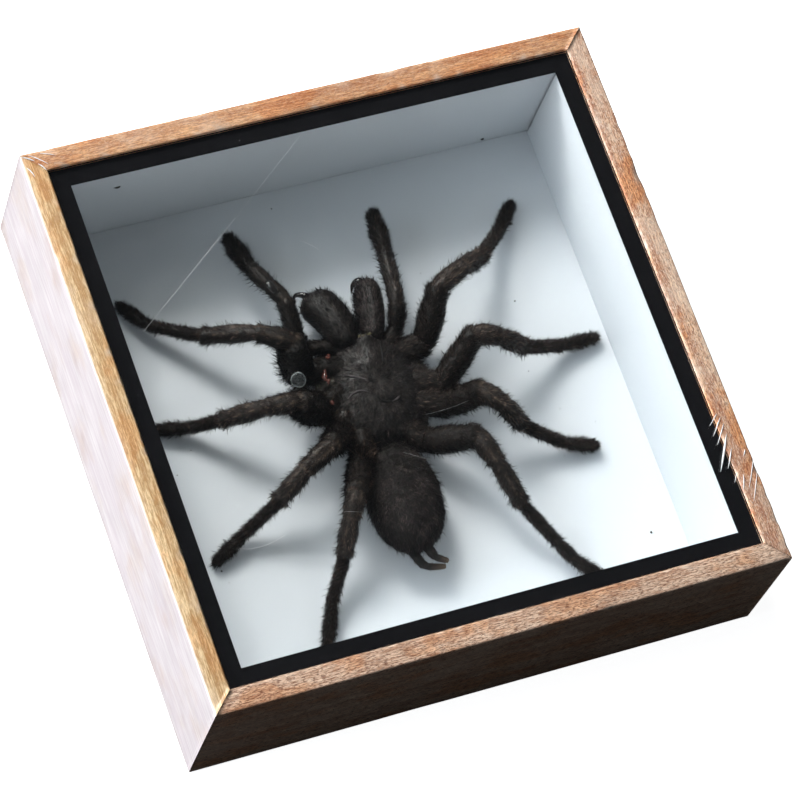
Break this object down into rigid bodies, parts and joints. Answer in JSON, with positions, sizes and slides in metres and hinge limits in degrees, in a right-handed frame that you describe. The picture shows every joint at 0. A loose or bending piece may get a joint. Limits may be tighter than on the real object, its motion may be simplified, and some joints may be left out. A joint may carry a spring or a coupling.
{
  "type": "framed tarantula specimen",
  "caption": "Dried tarantula set in a square wooden shadow box with a white card liner, a black inner border and a glass front.",
  "frame": {"origin": "middle of the back, in the plane that the frame's back edges lie in", "axes": "+Z out of the glass, +Y towards the top rail where the spider's head points, +X to the right as seen through the glass"},
  "size_m": [0.14, 0.14, 0.0385],
  "materials": {
    "pine": "satin",
    "glass": "gloss",
    "black_card": "matte",
    "white_card": "matte",
    "hardboard": "matte",
    "steel": "satin",
    "cuticle": "matte",
    "abdomen_skin": "matte",
    "fang_horn": "gloss",
    "clear_glue": "gloss"
  },
  "bodies": {
    "root": {"rail_top": "pine", "rail_bottom": "pine", "rail_left": "pine", "rail_right": "pine", "glass": "glass", "border_mat": "black_card", "liner_floor": "white_card", "liner_wall_top": "white_card", "liner_wall_bottom": "white_card", "liner_wall_left": "white_card", "liner_wall_right": "white_card", "back_board": "hardboard", "point_top": "steel", "point_bottom": "steel", "point_left": "steel", "point_right": "steel", "carapace": "cuticle", "chelicera_left": "cuticle", "chelicera_right": "cuticle", "palp_left": "cuticle", "palp_right": "cuticle", "leg_left_1": "cuticle", "leg_left_2": "cuticle", "leg_left_3": "cuticle", "leg_left_4": "cuticle", "leg_right_1": "cuticle", "leg_right_2": "cuticle", "leg_right_3": "cuticle", "leg_right_4": "cuticle", "abdomen": "abdomen_skin", "spinneret_left": "abdomen_skin", "spinneret_right": "abdomen_skin", "fang_left": "fang_horn", "fang_right": "fang_horn", "glue_drop": "clear_glue"}
  },
  "joints": []
}
